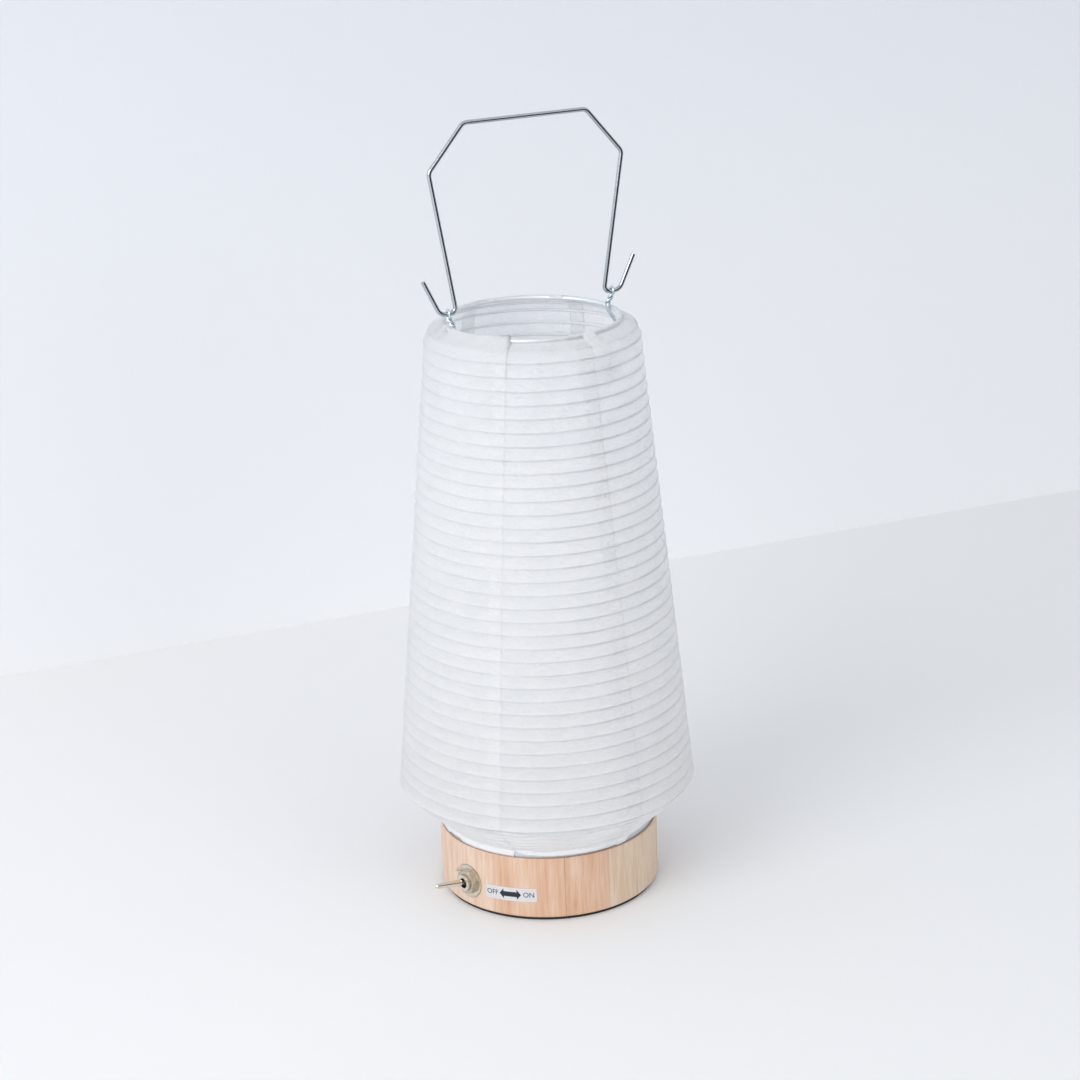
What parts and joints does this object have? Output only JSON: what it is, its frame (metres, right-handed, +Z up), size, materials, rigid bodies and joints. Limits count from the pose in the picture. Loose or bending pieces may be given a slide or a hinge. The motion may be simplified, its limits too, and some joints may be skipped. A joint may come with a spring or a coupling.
{
  "type": "paper table lamp",
  "caption": "Battery table lamp with a ribbed white paper shade on hoops, a turned wooden base with a toggle switch, and a wire bail that swings in two wire ears.",
  "frame": {"origin": "centre of the foot ring's underside, where the lamp stands", "axes": "+Z up along the lamp's axis, X along the hinge line of the bail, the switch in the -X -Y quarter"},
  "size_m": [0.108, 0.108, 0.2836],
  "materials": {
    "wood": "satin, finely sanded",
    "washi": "matt, fibrous",
    "bamboo": "matt",
    "zinc_wire": "bright zinc",
    "zinc_sheet": "dull zinc",
    "nickel": "satin nickel",
    "black_plastic": "matt",
    "white_plastic": "matt",
    "blue_plastic": "gloss",
    "red_plastic": "gloss",
    "clear_plastic": "clear",
    "cell_sleeve": "gloss",
    "spring_steel": "bright",
    "sticker": "matt"
  },
  "bodies": {
    "lamp": {"wooden_base": "wood", "foot_ring": "black_plastic", "bottom_cover": "black_plastic", "cover_screws": "spring_steel", "label": "sticker", "battery_holder": "black_plastic", "cell_near": "cell_sleeve", "cell_far": "cell_sleeve", "series_link": "spring_steel", "spring_contact": "spring_steel", "plate_contact": "spring_steel", "led_board": "white_plastic", "led_lens": "clear_plastic", "resistor": "bamboo", "board_screws": "spring_steel", "lead_red": "red_plastic", "lead_white": "white_plastic", "lead_black": "black_plastic", "switch_body": "blue_plastic", "switch_bushing": "nickel", "switch_terminals": "spring_steel", "lock_ring": "nickel", "hex_nut": "nickel", "bottom_band": "zinc_sheet", "band_pins": "spring_steel", "paper_panel_1": "washi", "paper_panel_2": "washi", "paper_panel_3": "washi", "paper_panel_4": "washi", "paper_panel_5": "washi", "paper_panel_6": "washi", "hoops": "bamboo", "rim_ring": "zinc_wire", "left_ear": "zinc_wire", "right_ear": "zinc_wire"},
    "bail": {"bail": "zinc_wire"},
    "lever": {"toggle_lever": "nickel"}
  },
  "joints": [
    {"name": "bail_hinge", "type": "hinge", "parent": "lamp", "child": "bail", "pos_m": [0, 0, 0.218], "axis": [1, 0, 0], "range_deg": [-110, 110]},
    {"name": "switch_hinge", "type": "hinge", "parent": "lamp", "child": "lever", "pos_m": [-0.03894, -0.01262, 0.0106], "axis": [0.1679, -0.5181, 0.8387], "range_deg": [0, 27]}
  ]
}
